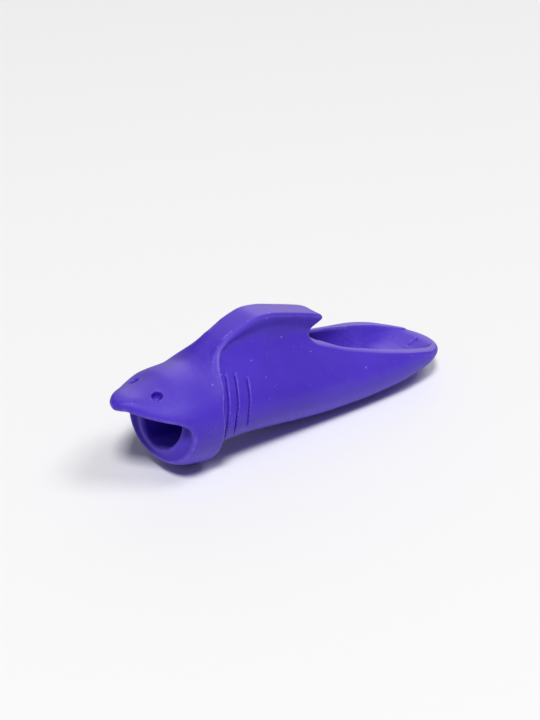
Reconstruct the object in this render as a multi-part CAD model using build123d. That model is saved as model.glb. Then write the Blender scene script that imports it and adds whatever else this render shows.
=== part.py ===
from build123d import *
import os
from math import cos, pi, sin, sqrt

# Sizes in millimetres. X runs along the pencil from the nose to the tail, Z is up,
# and the grip lies with its chin and belly on Z = 0, centred on its own box.

# Lengths along the pencil
length = 56.5
head_length = 12.2
jaw_length = 6.0
sleeve_length = 18.2
tail_taper_length = 15.4
tail_blunt = 0.5

# Pencil bore
bore_diameter = 7.2
bore_height = 6.5

# Head: snout over the bore, cheeks that flare to a finger stop, chin
head_width = 14.8
cheek_height = 8.6
nose_width = 1.8
nose_height = 12.4
nose_drop = 0.9
brow_height = 14.3
lip_height = 11.2
lip_arch = 0.2
mouth_corner_height = 8.4
mouth_corner_back = 1.2
mouth_lean = 0.22
dish_depth = 1.65
dish_radius = 16.0
roof_wall = 0.4

# Fin: a thin web with a thicker band along its top
fin_height = 18.4
fin_length = 20.9
fin_crest_back = 9.7
fin_rise_length = 7.2
fin_tip_height = 14.3
fin_tip_blunt = 0.7
fin_web_thickness = 2.4
fin_band_thickness = 3.5
fin_band_depth = 1.0
notch_height = 11.8
notch_gap = 1.4

# Sleeve and tail
cheek_flare = 0.5
body_height = 7.9
body_drop = 2.9
bell_height = 8.9
belly_rise_front = 2.6
belly_rise_back = 1.5
belly_foot = 26.5
rest_dip = 0.1
rim_start_height = 10.2
rim_middle_height = 6.5
rim_end_height = 3.4
tail_end_height = 1.8
scoop_width = 9.0
scoop_start_floor = 9.0
scoop_end_floor = 2.1
scoop_end_wall = 1.5

# Gill slits and eyes
gill_count = 3
gill_pitch = 1.75
gill_offset = 1.3
gill_width = 0.5
gill_depth = 0.45
gill_height = 8.4
gill_step = 0.4
gill_mid_height = 9.2
gill_lean = 1.2
gill_bow = 0.5
eye_diameter = 1.5
eye_back = 5.2
eye_height = 12.9
eye_spread = 7.4

# Places worked out from the sizes
nose_x = -length / 2
tail_x = length / 2
cheek_x = nose_x + head_length
lip_x = cheek_x - jaw_length
notch_x = cheek_x + sleeve_length
crest_x = cheek_x + fin_crest_back
fin_tip_x = cheek_x + fin_length
foot_x = cheek_x + belly_foot
taper_x = tail_x - tail_taper_length
body_width = head_width - 2 * cheek_flare
seat_height = bore_height + bore_diameter / 2 + roof_wall
above = fin_height + head_width


def ease(x, start, end):
    """Share of the way from start to end, held at 0 and 1 outside."""
    return min(max((x - start) / (end - start), 0), 1)


def section(x, low, mid, half, rise, flank, dome, fullness):
    """Outline across the pencil: a round belly, then a bell or a dome that ends in two upright flanks."""
    def side(turn):
        if turn < 0:
            return half * cos(turn * pi / 2) ** fullness, mid + (mid - low) * sin(turn * pi / 2)
        bell = (1 + cos(pi * turn)) / 2
        round_top = sqrt(1 - turn * turn)
        return flank + (half - flank) * (bell + (round_top - bell) * dome), mid + rise * turn

    right = [side(turn) for turn in (-0.67, -0.33, 0, 0.25, 0.5, 0.75, 1)]
    left = [(-y, z) for y, z in reversed(right)]
    belly = Spline(*left, (0, low), *right)
    top = Polyline(belly @ 1, (flank, above), (-flank, above), belly @ 0)
    return Plane.YZ.offset(x) * make_face(belly + top)


def body_ring(x, inset=0):
    """Section of the sleeve and the tail; inset draws it smaller all round."""
    low = belly_rise_front * ease(x, foot_x, cheek_x) ** 1.5 - rest_dip
    low += belly_rise_back * ease(x, foot_x, tail_x) ** 1.5
    mid = body_height - body_drop * ease(x, cheek_x, taper_x + tail_taper_length / 3)
    half = body_width / 2 * (1 - ease(x, taper_x, tail_x + tail_blunt) ** 2.6) ** 0.75
    flank = min(fin_web_thickness / 2, half * 0.8)
    return section(x, low + inset, mid, half - inset, bell_height, flank - inset, 0, 1)


def hood_ring(x):
    """Section of the head and, behind the cheeks, of the band along the fin."""
    forward = ease(x, cheek_x, nose_x)
    backward = ease(x, cheek_x, fin_tip_x)
    half = max(head_width / 2 * (1 - forward ** 2.2) ** 0.8, nose_width / 2)
    mid = cheek_height + (lip_height - cheek_height) * forward
    low = lip_height * forward ** 2.2 - rest_dip
    brow = brow_height - (brow_height - nose_height) * forward ** 3
    crown = fin_height - brow_height - fin_band_depth / 2
    rise = brow - mid + crown * (1 - forward) ** 4 - (crown + 1) * backward
    flank = min(fin_band_thickness / 2, half * 0.6)
    return section(x, low, mid, half, rise, flank, min(1, 1.6 * forward), 0.85)


def side_block(outline):
    """Full-width block with the given outline in the side view."""
    return extrude(Plane.XZ * make_face(outline), head_width, both=True)


def slab(x0, x1, z0, z1):
    """Full-width block between two stations and two heights."""
    return Pos((x0 + x1) / 2, 0, (z0 + z1) / 2) * Box(x1 - x0, 2 * head_width, z1 - z0)


def top_line():
    """Brow and the top of the fin, from the nose to the fin's tip."""
    return Spline(
        (nose_x, nose_height),
        (nose_x + head_length / 4, nose_height + (brow_height - nose_height) * 0.6),
        (cheek_x - jaw_length / 3, brow_height),
        (crest_x - fin_rise_length, fin_height - 2.6),
        (crest_x - fin_rise_length / 2, fin_height - 0.4),
        (crest_x, fin_height),
        (crest_x + fin_rise_length, fin_height - 1.9),
        (fin_tip_x, fin_tip_height + fin_tip_blunt),
    )


def notch_line():
    """Trailing edge of the fin and the notch that undercuts it."""
    return Spline(
        (fin_tip_x, fin_tip_height),
        (notch_x, notch_height),
        (notch_x + notch_gap, rim_start_height),
        tangents=[(-1, -0.6), (1, -0.35)],
    )


def rim_line():
    """Slanted rim of the tail, from the notch to the low lip at the end."""
    return Spline(
        (notch_x + notch_gap, rim_start_height),
        (tail_x - tail_taper_length * 2 / 3, rim_middle_height),
        (tail_x - tail_taper_length / 8, rim_end_height),
        (tail_x, tail_end_height),
        tangents=[(1, -0.35), (0.3, -1)],
    )


def band_edge():
    """Lower edge of the band that runs from the cheeks up along the fin."""
    band_height = fin_height - fin_band_depth
    return Spline(
        (cheek_x, notch_height),
        (crest_x - fin_rise_length * 0.9, band_height - 2.1),
        (crest_x - fin_rise_length / 2, band_height - 0.5),
        (crest_x, band_height),
        (crest_x + fin_rise_length, band_height - 1.8),
        (fin_tip_x + 1, fin_tip_height - fin_band_depth / 2),
    )


def gill_slits():
    """Bowed slits behind the cheeks, each a little shorter than the one in front."""
    core = loft([body_ring(x, gill_depth) for x in (cheek_x - 1, notch_x - sleeve_length / 2)])
    slits = []
    for index in range(gill_count):
        x = cheek_x + gill_offset + gill_pitch * index
        reach = gill_height / 2 - gill_step * index
        path = Spline(
            (x, gill_mid_height - reach),
            (x + gill_lean / 2 + gill_bow, gill_mid_height),
            (x + gill_lean, gill_mid_height + reach),
        )
        slits.append(extrude(Plane.XZ * trace(path, gill_width), head_width, both=True) - core)
    return slits


def finger_scoop():
    """Finger recess that opens the tail from above, its floor sloping to the tail's lip."""
    end_x = tail_x - scoop_end_wall
    rings = []
    for share in (0, 0.3, 0.55, 0.75, 0.9, 1):
        x = notch_x + (end_x - notch_x) * share
        floor = scoop_start_floor + (scoop_end_floor - scoop_start_floor) * share
        lid = notch_height - 0.7 + (rim_end_height - rim_start_height - 0.5) * share
        opening = ease(share, -0.6, 0.55) * (1 - ease(share, 0.55, 1.02) ** 2.4) ** 0.6
        half = scoop_width / 2 * opening
        bowl = ThreePointArc((-half, lid), (0, floor), (half, lid))
        rings.append(Plane.YZ.offset(x) * make_face(bowl + Line(bowl @ 1, bowl @ 0)))
    return loft(rings)


# Pencil path, straight through the head, the sleeve and the tail
bore = Pos(0, 0, bore_height) * Rot(0, 90, 0) * Cylinder(bore_diameter / 2, length + 2)

# Side view of the whole grip
top = top_line()
notch = notch_line()
rim = rim_line()
under = Polyline(
    rim @ 1,
    (tail_x, 0),
    (nose_x + nose_drop, 0),
    (nose_x + nose_drop / 2, lip_height),
    top @ 0,
)
profile = side_block(top + Line(top @ 1, notch @ 0) + notch + rim + under)

# Head in front of the cheek edge: the snout above the bore, the jaw collar round it
head_stations = [nose_x + head_length * share for share in (0, 0.08, 0.2, 0.38, 0.6, 0.8, 1)]
head = loft([hood_ring(x) for x in head_stations]) & profile
corner_x = lip_x + mouth_corner_back
lip = Spline(
    (nose_x - 1, lip_height),
    (nose_x + 2, lip_height + lip_arch),
    (lip_x + lip_arch, mouth_corner_height + mouth_corner_back),
    (corner_x, mouth_corner_height),
)
jaw_foot = (corner_x - mouth_lean * mouth_corner_height, 0)
mouth = side_block(lip + Polyline(lip @ 1, jaw_foot, (nose_x - 1, 0), lip @ 0))
eyes = [
    Pos(nose_x + eye_back, hand * eye_spread / 2, eye_height) * Sphere(eye_diameter / 2)
    for hand in (-1, 1)
]
snout = (head & slab(nose_x, cheek_x, seat_height, above)) - mouth - eyes
dish = Pos(lip_x + dish_depth - dish_radius, 0, bore_height) * Sphere(dish_radius)
jaw_collar = (head & slab(nose_x, cheek_x, 0, seat_height)) - mouth - dish - bore

# Sleeve round the pencil, up to the fin's root
sleeve_stations = [cheek_x + sleeve_length * share for share in (0, 0.33, 0.67, 1)]
sleeve = loft([body_ring(x) for x in sleeve_stations])
slits = gill_slits()
grip_sleeve = (sleeve & slab(cheek_x, notch_x, 0, notch_height)) - bore - slits

# Fin: a web that grows out of the sleeve, with the band along its top edge
web = loft([body_ring(x) for x in (cheek_x, crest_x, fin_tip_x + 1)])
edge = band_edge()
band_frame = Polyline(edge @ 1, (fin_tip_x + 1, above - 1), (cheek_x, above - 1), edge @ 0)
band = loft([hood_ring(x) for x in (cheek_x, crest_x, fin_tip_x + 1)]) & side_block(edge + band_frame)
dorsal_fin = (web + band) & slab(cheek_x, fin_tip_x, notch_height, above) & profile
dorsal_fin = dorsal_fin - slits

# Tail with the finger scoop over the pencil groove
tail_stations = [notch_x, (notch_x + taper_x) / 2]
tail_stations += [taper_x + tail_taper_length * share for share in (0, 0.35, 0.58, 0.76, 0.89, 1)]
tail = loft([body_ring(x) for x in tail_stations])
tail_scoop = (tail & slab(notch_x, tail_x, 0, notch_height)) & profile
tail_scoop = tail_scoop - bore - finger_scoop()

os.makedirs("parts", exist_ok=True)
nodes = {
    "snout": snout,
    "jaw_collar": jaw_collar,
    "grip_sleeve": grip_sleeve,
    "dorsal_fin": dorsal_fin,
    "tail_scoop": tail_scoop,
}
for name, solid in nodes.items():
    export_step(solid, "parts/" + name + ".step")
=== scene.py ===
import bpy
import numpy as np
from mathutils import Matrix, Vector


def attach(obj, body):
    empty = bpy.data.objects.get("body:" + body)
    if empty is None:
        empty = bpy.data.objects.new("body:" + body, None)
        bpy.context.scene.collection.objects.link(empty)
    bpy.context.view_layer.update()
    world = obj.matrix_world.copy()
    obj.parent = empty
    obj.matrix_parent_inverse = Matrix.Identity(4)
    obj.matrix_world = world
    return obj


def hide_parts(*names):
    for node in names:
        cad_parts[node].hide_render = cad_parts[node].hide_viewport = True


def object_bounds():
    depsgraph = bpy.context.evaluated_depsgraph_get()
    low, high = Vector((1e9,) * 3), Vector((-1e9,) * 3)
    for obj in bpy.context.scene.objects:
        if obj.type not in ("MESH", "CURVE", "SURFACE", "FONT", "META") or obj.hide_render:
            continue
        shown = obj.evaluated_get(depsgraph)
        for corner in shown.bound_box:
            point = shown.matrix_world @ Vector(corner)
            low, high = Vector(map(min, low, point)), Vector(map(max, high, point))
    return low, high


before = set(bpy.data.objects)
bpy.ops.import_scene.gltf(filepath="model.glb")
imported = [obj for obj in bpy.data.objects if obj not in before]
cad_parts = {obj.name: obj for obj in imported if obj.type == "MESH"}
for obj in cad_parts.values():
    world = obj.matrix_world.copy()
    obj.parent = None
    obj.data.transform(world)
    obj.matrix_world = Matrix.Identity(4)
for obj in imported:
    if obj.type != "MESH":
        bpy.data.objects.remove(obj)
cad_low, cad_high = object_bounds()

# Grip: a hollow shark of soft violet silicone, moulded in one shot and held on the pencil by its own stretch.
# Its sizes are in millimetres: s runs along the pencil from the nose, y across and z up from the table. Its
# form is a field that is below zero inside the silicone.
mm = 0.001
nose_x = cad_low.x / mm


def through(*points):
    """Smooth curve through (s, value) points that doesn't overshoot them."""
    s, value = np.array(points, float).T
    step = np.diff(s)
    slope = np.diff(value) / step
    lean = np.concatenate([slope[:1], np.zeros(len(s) - 2), slope[-1:]])
    for i in range(1, len(s) - 1):
        if slope[i - 1] * slope[i] > 0:
            a, b = 2 * step[i] + step[i - 1], step[i] + 2 * step[i - 1]
            lean[i] = (a + b) / (a / slope[i - 1] + b / slope[i])

    def curve(q):
        q = np.clip(q, s[0], s[-1])
        i = np.clip(np.searchsorted(s, q) - 1, 0, len(s) - 2)
        t = (q - s[i]) / step[i]
        rise = value[i] + (value[i + 1] - value[i]) * t * t * (3 - 2 * t)
        return rise + step[i] * t * (1 - t) * (lean[i] * (1 - t) - lean[i + 1] * t)

    return curve


def drawn(*points, pieces=8):
    """Rounded line through side-view points, as a chain of short pieces."""
    p = np.array(points, float)
    p = np.vstack([2 * p[0] - p[1], p, 2 * p[-1] - p[-2]])
    knots = np.concatenate([[0], np.cumsum(np.linalg.norm(np.diff(p, axis=0), axis=1) ** 0.5)])
    line = []
    for i in range(1, len(p) - 2):
        k = knots[i - 1:i + 3]
        t = np.linspace(k[1], k[2], pieces, endpoint=False)[:, None]
        row = p[i - 1:i + 3]
        for spans in (((0, 1), (1, 2), (2, 3)), ((0, 2), (1, 3)), ((1, 2),)):
            row = [((k[b] - t) * row[j] + (t - k[a]) * row[j + 1]) / (k[b] - k[a])
                   for j, (a, b) in enumerate(spans)]
        line.append(row[0])
    return np.vstack(line + [p[-2:-1]])


def side_distance(s, z, loop):
    """Distance from a closed side-view outline, below zero inside it."""
    nearest = np.full(np.broadcast(s, z).shape, np.inf)
    inside = np.zeros(nearest.shape, bool)
    for (s0, z0), (s1, z1) in zip(loop, np.roll(loop, -1, 0)):
        run, rise = s1 - s0, z1 - z0
        share = np.clip(((s - s0) * run + (z - z0) * rise) / (run * run + rise * rise + 1e-12), 0, 1)
        nearest = np.minimum(nearest, (s - s0 - share * run) ** 2 + (z - z0 - share * rise) ** 2)
        if z0 != z1:
            inside ^= ((z0 > z) != (z1 > z)) & (s < run * (z - z0) / rise + s0)
    return np.where(inside, -1, 1) * np.sqrt(nearest)


def join(a, b, radius):
    """Union of two forms with a rounded inner corner."""
    near = np.maximum(2 * radius - np.abs(a - b), 0) / (2 * radius)
    return np.minimum(a, b) - near * near * radius / 2


def trim(a, b, radius):
    """What two forms share, with a rounded outer edge."""
    return -join(-a, -b, radius)


def oval(y, z, half, tall, power=2):
    """Distance from an oval of the given half sizes round y = z = 0, rounder or squarer by its power."""
    across, up = np.abs(y) / half, np.abs(z) / tall
    reach = (across ** power + up ** power) ** (1 / power) + 1e-9
    slope = np.hypot((across / reach) ** (power - 1) / half, (up / reach) ** (power - 1) / tall)
    return (reach - 1) / (slope + 1e-9)


def dome(y, z, half, rise, roof, blunt=0.02):
    """Distance from a dome with upright sides: a flat top at a high roof power, a tent at a low one."""
    across, up = np.abs(y) / half, np.abs(z) / rise
    slope = np.hypot(roof * across ** (roof - 1) / half, 2 * up / rise)
    return (across ** roof + up ** 2 - 1) / (slope + blunt)


def rounded(y, z, low, mid, half, rise, flank, bell, power, roof=2, least=0.3):
    """Section across the pencil: an oval belly, then a bell with upright flanks or a dome."""
    belly = oval(y, z - mid, half, np.maximum(mid - low, least), power)
    turn = np.clip((z - mid) / rise, 0, 1) * np.pi
    wall = flank + (half - flank) * (1 + np.cos(turn)) / 2
    tilt = (half - flank) * np.pi / 2 * np.sin(turn) / rise
    upper = bell * (np.abs(y) - wall) / np.hypot(1, tilt) + (1 - bell) * dome(y, z - mid, half, rise, roof)
    return np.where(z < mid, belly, upper)


def swept(section, s, y, z, reach=0.05):
    """Section along the pencil, as a true distance where it widens or narrows."""
    ahead, behind = section(s + reach, y, z), section(s - reach, y, z)
    return (ahead + behind) / 2 / np.hypot(1, (ahead - behind) / (2 * reach))


# Sleeve and tail: belly line, widest line, half width and height of the bell up to the fin's web
body_low = through((9, 2.6), (16.6, 2.5), (22, 1.85), (27, 1.0), (33, 0.25), (39, 0.02), (45, 0.35),
                   (50, 1.15), (54, 2.15), (56, 2.3))
body_mid = through((9, 8), (14, 7.9), (27, 6.8), (37, 5.8), (44, 5.2), (49, 4.9), (54, 3.9), (56.5, 2.9))
body_half = through((9, 6.7), (14, 6.7), (22, 6.8), (32, 6.9), (39, 6.95), (44, 6.9), (48, 6.5), (50, 6.15),
                    (51.5, 5.5), (52.5, 4.85), (53.5, 3.9), (54.2, 3.05), (54.8, 2.1), (55.2, 1.2),
                    (55.45, 0.4))
body_rise = through((9, 9.2), (14, 9.2), (22, 8.4), (28, 7.5), (32, 7.3), (36, 7.4), (40, 7.5), (43, 7.95),
                    (45, 8.7), (47, 9.6))
web_half = 1.5

# Head and the band along the fin, which stand proud of the sleeve. Below the lip the jaw is wider. The edge
# behind the cheek is sharp, and it and the corner behind it grow rounder up the fin.
hood_low = through((0, 10.2), (3, 6.8), (5.5, 3.3), (6.5, 2.35), (8, 1.35), (10, 0.5), (12, 0.02),
                   (15, 0.02))
hood_mid = through((0, 11.9), (1, 11.5), (2.2, 10.95), (4, 10.15), (7, 9.3), (12, 8.6), (18, 8.6))
hood_half = through((0, 0.6), (0.6, 1.4), (1.5, 2.45), (2.5, 3.42), (4, 4.75), (5.5, 5.9), (7, 6.75),
                    (8.5, 7.2), (10, 7.35), (12, 7.4))
jaw_wider = through((0, 0), (4, 0), (6, 0.55), (7, 0.5), (8.5, 0.2), (10, 0.05), (12, 0))
jaw_level, jaw_blend = 9.2, 2.2
hood_rise = through((0, 1.2), (1, 1.85), (2.2, 2.45), (4, 3.33), (6, 4.25), (8, 5.2), (10, 5.62), (12, 5.85),
                    (13, 6.3), (14.3, 7.25), (15.6, 8.2), (16.5, 8.9), (18, 9.3), (20, 9.4), (26, 8.2),
                    (32, 6), (36, 5))
hood_bell = through((0, 0), (16, 0), (19.5, 1), (30, 1))
hood_flat = through((6, 2.3), (8, 2.1), (10, 1.9), (12, 1.85))
hood_roof = through((0, 2.4), (1, 2.3), (2, 2.15), (3.5, 1.62), (5, 1.36), (9, 1.36), (12, 1.38), (13, 1.33),
                    (14.3, 1.25), (15.6, 1.22), (18, 1.22))
band_half = 1.75
hood_edge = np.vstack([
    drawn((12.6, -4), (12.5, 3), (12.35, 6.6), (12.3, 9.9), (13.4, 11.9), (14.35, 13.8), (15.6, 15.3),
          (17.4, 16.5), (20, 17.3), (23, 17.45), (26, 17), (29, 16.2), (31.6, 15.1), (36, 13.1)),
    [(36, 30), (-9, 30), (-9, -4)]])
hood_edge_round = ((13, 15, 17, 20), (0.15, 0.25, 0.5, 0.8))
hood_root_round = ((14, 16, 19), (0.2, 0.4, 1))
body_under_hood = 0.6

# Side view: brow, fin, notch behind it, slanted rim of the tail
side_view = np.vstack([
    drawn((0.05, 12.5), (0.6, 12.97), (1.6, 13.36), (3, 13.52), (7, 14.3), (11, 14.65), (12.5, 14.85),
          (14, 15.45), (15.2, 16.05), (16.3, 16.6), (18.7, 17.6), (21.1, 18.25), (22.4, 18.35), (24.7, 18),
          (27, 17.3), (31, 15.95), (32.5, 15.35), (33.4, 14.85)),
    drawn((33.55, 14.35), (32.9, 13.82), (32.28, 13.42), (31.63, 13), (31.27, 12.5), (31.4, 11.95),
          (31.8, 11.52), (32.5, 11.18), (34, 10.62), (36, 9.83), (38.5, 9.02), (41.5, 8.05), (45, 7.02),
          (48.5, 5.96), (51.5, 4.97), (53, 4.6), (54, 4.38), (54.7, 4.22), (55.15, 3.95), (55.38, 3.4),
          (55.4, 2.8)),
    [(55.4, -4), (-2, -4), (0.3, 10.4), (0.15, 11.6)]])
side_round = 0.3

# Mouth: lip line and the lower jaw's leaning face, with a groove round the raised edge of the hole
mouth = np.vstack([
    drawn((-8, 11.42), (0, 11.42), (0.4, 11.5), (0.8, 11.64), (1.2, 11.6), (1.55, 11.42), (2.4, 11.02),
          (3.03, 10.74), (3.78, 10.47), (4.91, 10.1), (6.02, 9.75), (6.66, 9.33), (7.23, 8.85), (7.45, 8.27),
          (7.43, 7.67), (7.23, 6.8), (6.87, 5.64)),
    [(6.3, 3.5), (5.38, 0), (3.82, -6), (-8, -6)]])
lip_round = 0.25
bowl_s, bowl_lean, bowl_depth, bowl_front, bowl_top = 7.0, 0.28, 0.8, 4.5, 9.3
bowl_half, bowl_tall, bowl_z = 6.5, 4.7, 6.9
bowl_steep, bowl_round, bowl_edge = 0.8, 0.3, 0.35
groove_at, groove_wide, groove_reach = 0.84, 0.14, 1.2

# Pencil hole, flared behind the mouth and open along the tail. There a slot with sloping ledges widens it,
# and then a shallow dish for the finger, which starts on a leaning plane and has a short slit in its floor.
bore_r, bore_z, bore_fade, bore_end = 3.6, 7.0, 44.0, 53.0
flare_start, flare_lead, flare_run, flare_end = 3.5, 2, 3, 10.5
flare_r, flare_z = 0.45, 0.9
slot_half = through((33.5, 0.5), (34.3, 1.5), (35, 2.3), (36, 2.9), (38.5, 3.5), (41.5, 4.05), (43, 4.3),
                    (45, 4.5))
slot_z, slot_slope, slot_start, slot_end = 6.6, 1.2, 33.5, 48
slot_inner, slot_round, slot_blend = 0.4, 0.3, 0.6
dish_start, dish_blend = 37, 0.5
dish_half = through((42, 3.6), (43.5, 4.05), (44.3, 4.18), (45, 4.3), (47, 4.47), (48.5, 4.4), (50, 4.15),
                    (51.5, 3.7), (52.5, 3.1), (53.5, 2.4), (54.2, 1.8), (54.8, 1.1), (55.2, 0.6))
dish_top = through((42, 7.9), (45, 7.02), (48.5, 5.96), (51.5, 4.97), (53, 4.6), (54, 4.38), (55, 4.05))
dish_deep = through((42, 0.3), (43.5, 1.4), (45, 2.3), (46.5, 2.8), (48, 2.7), (50, 2.05), (51.5, 1.3),
                    (52.5, 0.8), (53.5, 0.34), (54.2, 0.12), (54.8, 0.03), (55.2, 0.01))
rim_round = ((44, 52), (0.2, 0.35))
slit_start, slit_end, slit_r, slit_round = 51.6, 53.1, 0.26, 0.1

# Gill slits: place, lower end and upper end of each, the line that they share, and how their ends run out
gills = ((13.05, 5.0, 12.95), (14.6, 5.6, 12.6), (16.55, 6.2, 11.8))
gill_line = through((5, 0.2), (6.4, -0.05), (7.8, 0), (9.7, 0.68), (11.3, 1.4), (12.9, 2.2))
gill_depth, gill_half, gill_taper, gill_least, gill_inner = 0.95, 0.2, 8, 0.2, 2

# Eyes: round dents that slant towards the middle as they go down
eye_s, eye_y, eye_z, eye_r, eye_deep, eye_slant, eye_round = 5.2, 2.6, 13.1, 0.74, 0.6, 0.45, 0.08


def silicone(s, y, z):
    """Field of the whole moulding."""
    body = swept(lambda a, b, c: rounded(b, c, body_low(a), body_mid(a), body_half(a), body_rise(a),
                                         web_half, 1, 2), s, y, z)
    jaw = np.clip((jaw_level - z) / jaw_blend, 0, 1)
    jaw = jaw * jaw * (3 - 2 * jaw)
    hood = swept(lambda a, b, c: rounded(b, c, hood_low(a), hood_mid(a), hood_half(a) + jaw_wider(a) * jaw,
                                         hood_rise(a), band_half, hood_bell(a), hood_flat(a), hood_roof(a)),
                 s, y, z)
    behind = side_distance(s, z, hood_edge)
    hood = trim(hood, behind, np.interp(s, *hood_edge_round))
    form = join(np.maximum(body, -body_under_hood - behind), hood, np.interp(s, *hood_root_round))
    form = trim(form, side_distance(s, z, side_view), side_round)
    for gill_s, gill_low, gill_high in gills:
        beyond = np.maximum(np.maximum(gill_low - z, z - gill_high), 0)
        away = np.hypot(s - gill_s - gill_line(z), beyond)
        share = np.clip((z - gill_low) / (gill_high - gill_low), 0, 1)
        depth = gill_depth * np.clip(gill_taper * share * (1 - share), gill_least, 1)
        form = form + depth * np.clip(1 - (away / gill_half) ** 2, 0, 1) * (np.abs(y) > gill_inner)
    flare = np.clip((flare_end - s) / flare_run, 0, 1) ** 2 * np.clip((s - flare_start) / flare_lead, 0, 1)
    fade = np.clip((s - bore_fade) / (bore_end - bore_fade), 0, 1)
    wide = bore_r * np.sqrt(1 - fade ** 2) + flare_r * flare
    bore = np.maximum(np.hypot(y, z - bore_z - flare_z * flare) - wide, s - bore_end)
    climb = slot_slope * np.maximum(np.abs(y) - bore_r, -slot_inner)
    ledge = (slot_z + climb - z) / np.hypot(1, slot_slope)
    slot = trim(np.abs(y) - slot_half(s), ledge, slot_round)
    slot = np.maximum(slot, np.maximum(slot_start - s, s - slot_end))
    dip = np.minimum(z - dish_top(s), 0)
    dish = np.maximum(oval(y, dip, dish_half(s), dish_deep(s)), (dish_start + z - s) / np.sqrt(2))
    form = trim(form, -join(join(bore, slot, slot_blend), dish, dish_blend), np.interp(s, *rim_round))
    along = np.maximum(np.maximum(slit_start - s, s - slit_end), 0)
    slit = np.sqrt(along ** 2 + y ** 2 + (z - dish_top(s) + dish_deep(s)) ** 2) - slit_r
    form = trim(form, -slit, slit_round)
    form = trim(form, -side_distance(s, z, mouth), lip_round)
    ring = oval(y, z - bowl_z, bowl_half, bowl_tall)
    around = np.minimum(np.hypot(y / bowl_half, (z - bowl_z) / bowl_tall), groove_reach)
    groove = bowl_depth * np.exp(-((around - groove_at) / groove_wide) ** 2)
    bowl = (s - bowl_s - bowl_lean * (z - bowl_z) - groove) * bowl_steep
    bowl = np.maximum(bowl, np.maximum(bowl_front - s, z - bowl_top))
    form = trim(form, -trim(bowl, ring, bowl_round), bowl_edge)
    inward = np.clip((eye_z - z) / eye_deep, 0, 1) * eye_deep
    aside = np.abs(y) - eye_y + eye_slant * inward
    eye = np.sqrt((s - eye_s) ** 2 + aside ** 2 + (z - eye_z + inward) ** 2) - eye_r
    return trim(form, -eye, eye_round)


def skin(field, s, y, z):
    """Quads along the field's zero level: one corner in each grid cell that the level crosses."""
    grid = field(s[:, None, None], y[None, :, None], z[None, None, :])
    cells = np.array(grid.shape) - 1
    axes = (s, y, z)
    total, count, quads = np.zeros((cells.prod(), 3)), np.zeros(cells.prod()), []
    for axis in range(3):
        low = np.take(grid, range(cells[axis]), axis)
        high = np.take(grid, range(1, cells[axis] + 1), axis)
        at = np.argwhere((low < 0) != (high < 0))
        share = low[tuple(at.T)] / (low[tuple(at.T)] - high[tuple(at.T)])
        place = np.stack([axes[k][at[:, k]] for k in range(3)], 1)
        place[:, axis] += share * np.diff(axes[axis])[at[:, axis]]
        ring = []
        for back_u, back_v in ((0, 0), (1, 0), (1, 1), (0, 1)):
            cell = at.copy()
            cell[:, (axis + 1) % 3] -= back_u
            cell[:, (axis + 2) % 3] -= back_v
            cell = np.ravel_multi_index(cell.T, cells)
            for k in range(3):
                total[:, k] += np.bincount(cell, place[:, k], cells.prod())
            count += np.bincount(cell, minlength=cells.prod())
            ring.append(cell)
        outward = low[tuple(at.T)] < 0
        quads.append(np.where(outward[:, None], np.stack(ring, 1), np.stack(ring[::-1], 1)))
    used = np.flatnonzero(count)
    number = np.zeros(cells.prod(), int)
    number[used] = np.arange(len(used))
    return total[used] / count[used][:, None], number[np.vstack(quads)]


def relax(points, quads, share=0.5):
    """Corners drawn towards the middle of their neighbours, which evens out the mesh."""
    ends = np.vstack([quads[:, [k, (k + 1) % 4]] for k in range(4)])
    total = np.stack([np.bincount(ends[:, 0], points[ends[:, 1], k], len(points)) for k in range(3)], 1)
    count = np.bincount(ends[:, 0], minlength=len(points))
    return points + share * (total / count[:, None] - points)


def settle(field, points, tries=3, reach=0.02, flattest=0.2, stride=0.08):
    """Corners moved onto the zero level, with the field's slope and its bend there."""
    for _ in range(tries):
        middle = field(*points.T)
        sides = [[field(*(points + reach * sign * np.eye(3)[k]).T) for sign in (-1, 1)] for k in range(3)]
        slope = np.stack([(b - a) / (2 * reach) for a, b in sides], 1)
        bend = sum(a + b - 2 * middle for a, b in sides) / reach ** 2
        size = (slope ** 2).sum(1)[:, None]
        points = points - np.clip(middle[:, None] * slope / np.maximum(size, flattest), -stride, stride)
    return points, slope / np.sqrt(size), bend


# Mesh: finer cells at the head, gills and edge of the hood than along the body
stops = np.concatenate([np.arange(-0.4, 9.2, 0.16), np.arange(9.2, 12.4, 0.2), np.arange(12.4, 19, 0.1),
                        np.arange(19, 57.2, 0.3)])
columns, levels = np.arange(-7.92, 7.95, 0.22), np.arange(-0.47, 19, 0.215)
corners, quads = skin(silicone, stops, columns, levels)
corners = settle(silicone, relax(corners, quads), 2)[0]
corners = relax(corners, quads)
corners, outward, bend = settle(silicone, corners)
corners[:, 2] = np.maximum(corners[:, 2], 0)
mesh = bpy.data.meshes.new("shark_grip")
mesh.from_pydata((corners + (nose_x, 0, 0)) * mm, [], quads.tolist())
mesh.polygons.foreach_set("use_smooth", np.ones(len(mesh.polygons), bool))
# The third attribute is painted light: faces tilted up towards the tail, which a lamp behind would light, are
# given a paler colour.
sharp_bend, back_light_way = 6, (0.35, 0, 0.94)
for name, values in (("ridge", np.clip(bend / sharp_bend, -1, 1)), ("upward", outward[:, 2]),
                     ("back_light_paint", outward @ back_light_way)):
    attribute = mesh.attributes.new(name, "FLOAT", "POINT")
    attribute.data.foreach_set("value", values.astype(np.float32))
grip = bpy.data.objects.new("shark_grip", mesh)
bpy.context.collection.objects.link(grip)


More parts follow.
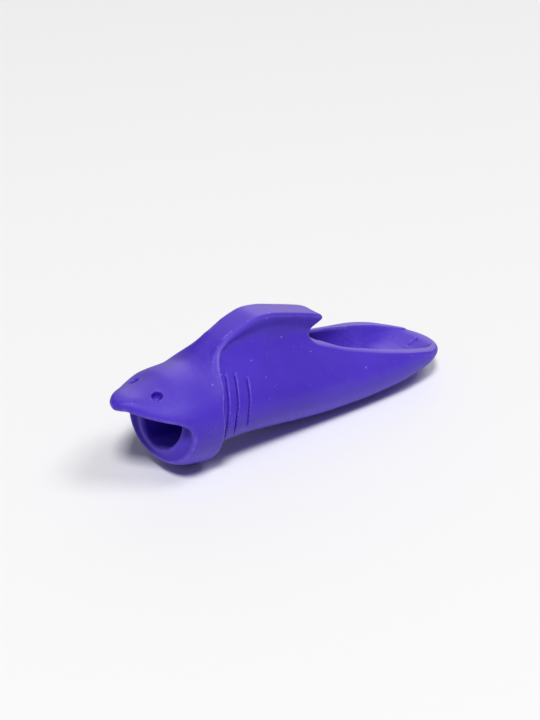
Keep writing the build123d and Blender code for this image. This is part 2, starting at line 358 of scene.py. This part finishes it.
class Wire:
    """One output in a shader tree. Arithmetic on it adds Math nodes, and node() adds any other."""

    def __init__(self, tree, socket=None):
        self.tree = tree
        self.socket = socket

    def node(self, kind, settings, sockets, out=0):
        made = self.tree.nodes.new(kind)
        for name, value in settings.items():
            setattr(made, name, value)
        for name, value in sockets.items():
            if isinstance(value, Wire):
                self.tree.links.new(value.socket, made.inputs[name])
            else:
                made.inputs[name].default_value = value
        return Wire(self.tree, made.outputs[out])

    def maths(self, operation, a, b):
        return self.node("ShaderNodeMath", {"operation": operation}, {0: a, 1: b})

    def __add__(self, other):
        return self.maths("ADD", self, other)

    def __sub__(self, other):
        return self.maths("SUBTRACT", self, other)

    def __rsub__(self, other):
        return self.maths("SUBTRACT", other, self)

    def __mul__(self, other):
        return self.maths("MULTIPLY", self, other)

    def __gt__(self, other):
        return self.maths("GREATER_THAN", self, other)

    __radd__ = __add__
    __rmul__ = __mul__

    def ramp(self, low, high):
        """0 below the first value and 1 above the second, soft between."""
        return self.node("ShaderNodeMapRange", {"interpolation_type": "SMOOTHSTEP"},
                         {"Value": self, "From Min": low, "From Max": high})


material = bpy.data.materials.new("violet_silicone")
material.use_nodes = True
tree = material.node_tree
bsdf = tree.nodes["Principled BSDF"]
wire = Wire(tree)
place = wire.node("ShaderNodeTexCoord", {}, {}, "Object")


def grain(size, detail=2):
    """Noise whose patches are about the given size in millimetres."""
    return wire.node("ShaderNodeTexNoise", {}, {"Vector": place, "Scale": 1 / (size * mm), "Detail": detail})


def specks(spacing, size, kept):
    """Round specks of the given size, scattered about the given distance apart, of which few are kept."""
    cells = {"Vector": place, "Scale": 1 / (spacing * mm)}
    near = wire.node("ShaderNodeTexVoronoi", {}, cells, "Distance")
    pick = wire.node("ShaderNodeTexVoronoi", {}, cells, "Color")
    return (1 - near.ramp(0.4 * size / spacing, 0.6 * size / spacing)) * (pick > kept)


# Colour: two close violets under a pale bloom of specks, film and rubbed edges, with painted light over it: a
# painted highlight on convex edges, paler upward faces and paler faces tilted up towards the tail
violet, violet_light, violet_patch = (0.057, 0.021, 0.44, 1), (0.068, 0.027, 0.51, 1), 11
bloom_and_highlight_colour = (0.52, 0.38, 0.95, 1)
speck_share, fine_share, rubbed_share, film_share = 0.75, 0.5, 0.1, 0.06
painted_top_share, edge_highlight_share, back_light_share = 0.11, 0.1, 0.22
# Edge mask from the ridge attribute: it feeds the rubbed wear and also a painted highlight along every convex
# edge.
edge = wire.node("ShaderNodeAttribute", {"attribute_name": "ridge"}, {}, "Fac").ramp(0.1, 0.7)
# Painted light: faces that look up are made paler, as where the lamps above light them.
painted_top_light = wire.node("ShaderNodeAttribute", {"attribute_name": "upward"}, {}, "Fac").ramp(0.8, 1)
# Painted highlight: faces tilted up towards the tail are made paler, as if lit from behind.
back_light_paint = wire.node("ShaderNodeAttribute", {"attribute_name": "back_light_paint"}, {}, "Fac").ramp(0.84, 1)
film = grain(7, 3).ramp(0.45, 0.8) * grain(0.5, 4).ramp(0.35, 0.75)
rubbed = edge * grain(0.9, 4).ramp(0.4, 0.65)
# Besides specks, film and rubbed wear, this sum holds painted light: the edge highlight and the paler upward
# and back-tilted faces.
dust_and_painted_light = (specks(1.5, 0.16, 0.6) * speck_share + specks(0.8, 0.1, 0.66) * fine_share + rubbed * rubbed_share
        + film * film_share + painted_top_light * painted_top_share + edge * edge_highlight_share + back_light_paint * back_light_share)
tone = wire.node("ShaderNodeMix", {"data_type": "RGBA"},
                 {"Factor": grain(violet_patch).ramp(0.3, 0.7), 6: violet, 7: violet_light}, 2)
tone = wire.node("ShaderNodeMix", {"data_type": "RGBA"}, {"Factor": dust_and_painted_light, 6: tone, 7: bloom_and_highlight_colour}, 2)
tree.links.new(tone.socket, bsdf.inputs["Base Color"])
roughness, rough_patches, rough_film = 0.44, 0.1, 0.15
rough = roughness + grain(2.5, 3) * rough_patches + film * rough_film
tree.links.new(rough.socket, bsdf.inputs["Roughness"])
relief, relief_wide = grain(0.3, 3), grain(1.6) * 1.5
skin_bump = wire.node("ShaderNodeBump", {}, {"Height": relief + relief_wide, "Strength": 0.12,
                                             "Distance": 0.1 * mm})
tree.links.new(skin_bump.socket, bsdf.inputs["Normal"])
bsdf.inputs["Subsurface Weight"].default_value = 0.3
bsdf.inputs["Subsurface Radius"].default_value = (0.6, 0.4, 1)
bsdf.inputs["Subsurface Scale"].default_value = 1.5 * mm
bsdf.inputs["Specular IOR Level"].default_value = 0.3
mesh.materials.append(material)
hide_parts("snout", "jaw_collar", "grip_sleeve", "dorsal_fin", "tail_scoop")
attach(grip, "root")

# Table top: one pale matt sheet, wide enough to fill the view and to catch the soft shadow.
floor_half = 2
floor_corners = [(-floor_half, -floor_half, 0), (floor_half, -floor_half, 0), (floor_half, floor_half, 0),
                 (-floor_half, floor_half, 0)]
floor_mesh = bpy.data.meshes.new("floor")
floor_mesh.from_pydata(floor_corners, [], [(0, 1, 2, 3)])
floor = bpy.data.objects.new("floor", floor_mesh)
bpy.context.collection.objects.link(floor)
floor_paint = bpy.data.materials.new("floor_paint")
floor_paint.use_nodes = True
floor_bsdf = floor_paint.node_tree.nodes["Principled BSDF"]
floor_bsdf.inputs["Base Color"].default_value = (0.9, 0.9, 0.9, 1)
floor_bsdf.inputs["Roughness"].default_value = 0.9
floor_mesh.materials.append(floor_paint)

# Studio light: a faint even surround, a soft key lamp high on the near side towards the nose, a weaker and
# wider fill towards the tail, and a large dim panel behind.
scene = bpy.context.scene
world = scene.world or bpy.data.worlds.new("studio")
scene.world = world
world.use_nodes = True
surround = world.node_tree.nodes["Background"]
surround.inputs["Color"].default_value = (1, 1, 1, 1)
surround.inputs["Strength"].default_value = 0.14


def softbox(name, place, size, energy):
    """Square lamp at the place, turned to the object."""
    data = bpy.data.lights.new(name, "AREA")
    data.size = size
    data.energy = energy
    lamp = bpy.data.objects.new(name, data)
    lamp.location = place
    lamp.rotation_euler = (-lamp.location).to_track_quat("-Z", "Y").to_euler()
    bpy.context.collection.objects.link(lamp)


softbox("key", (-0.9, -0.96, 2.0), 0.5, 42)
softbox("fill", (0.6, -0.9, 2.0), 0.9, 16)
softbox("back_panel", (1.44, 1.7, 0.9), 2.1, 6)

# Camera at the photograph's angle, looking down at the near side from the nose end.
camera_data = bpy.data.cameras.new("camera")
camera_data.lens = 93.1
camera_data.sensor_width = 36
camera_data.clip_start = 0.01
camera = bpy.data.objects.new("camera", camera_data)
look_at = Vector((-0.00136, 0.00137, 0.0090))
turn, height, away = np.radians(40), np.radians(28), 0.25
back = Vector((-np.sin(turn) * np.cos(height), -np.cos(turn) * np.cos(height), np.sin(height)))
camera.location = look_at + back * away
camera.rotation_euler = back.to_track_quat("Z", "Y").to_euler()
bpy.context.collection.objects.link(camera)
scene.camera = camera
scene.view_settings.view_transform = "Standard"
